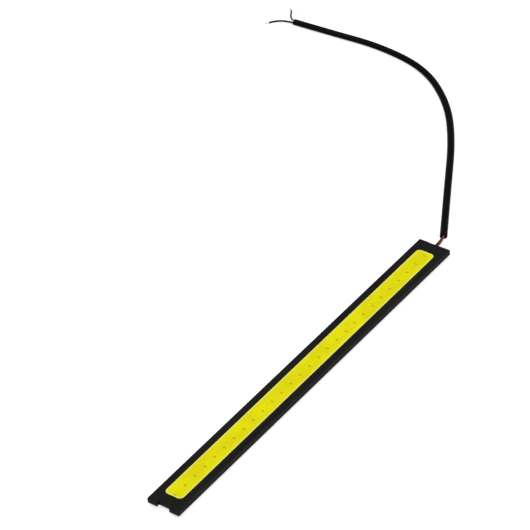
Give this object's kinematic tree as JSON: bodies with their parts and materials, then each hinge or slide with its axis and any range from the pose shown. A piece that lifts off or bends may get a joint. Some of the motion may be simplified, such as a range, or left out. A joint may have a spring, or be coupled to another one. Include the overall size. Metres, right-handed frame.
{
  "type": "daytime running light",
  "caption": "Slim black aluminium bar with a long yellow strip of light chips under phosphor gel, foam tape on its back and a sleeved two-wire lead.",
  "frame": {"origin": "centre of the release liner's underside, below the middle of the bar", "axes": "+X along the bar towards its lead, +Y across it, +Z the way the light leaves"},
  "size_m": [0.2767, 0.1563, 0.0032],
  "materials": {
    "liner_film": "smooth translucent white liner",
    "white_foam": "soft white-grey closed-cell foam",
    "black_anodised_aluminium": "satin black anodising",
    "thermal_glue": "dull white cured glue",
    "board_laminate": "white solder mask on an aluminium core",
    "light_chip": "glossy sapphire die",
    "chip_resistor": "dark body and dull end caps under a film of yellow gel",
    "clear_silicone": "pale silicone bead, tinted by the gel beside it",
    "yellow_phosphor_silicone": "soft satin yellow silicone",
    "tin_solder": "dull solder",
    "black_sealant": "matt black sealant",
    "red_insulation": "smooth red wire insulation",
    "tinned_copper": "twisted tinned strands",
    "black_insulation": "smooth black wire insulation",
    "black_sleeve": "soft black tubing, half matt"
  },
  "bodies": {
    "root": {"release_liner": "liner_film", "foam_tape": "white_foam", "base_plate": "black_anodised_aluminium", "board_glue": "thermal_glue", "led_board": "board_laminate", "led_chips": "light_chip", "series_resistors": "chip_resistor", "dam_ring": "clear_silicone", "phosphor_gel": "yellow_phosphor_silicone", "solder_joints": "tin_solder", "lead_sealant": "black_sealant", "red_wire": "red_insulation", "red_wire_core": "tinned_copper", "black_wire": "black_insulation", "black_wire_core": "tinned_copper", "wire_sleeve": "black_sleeve"}
  },
  "joints": []
}
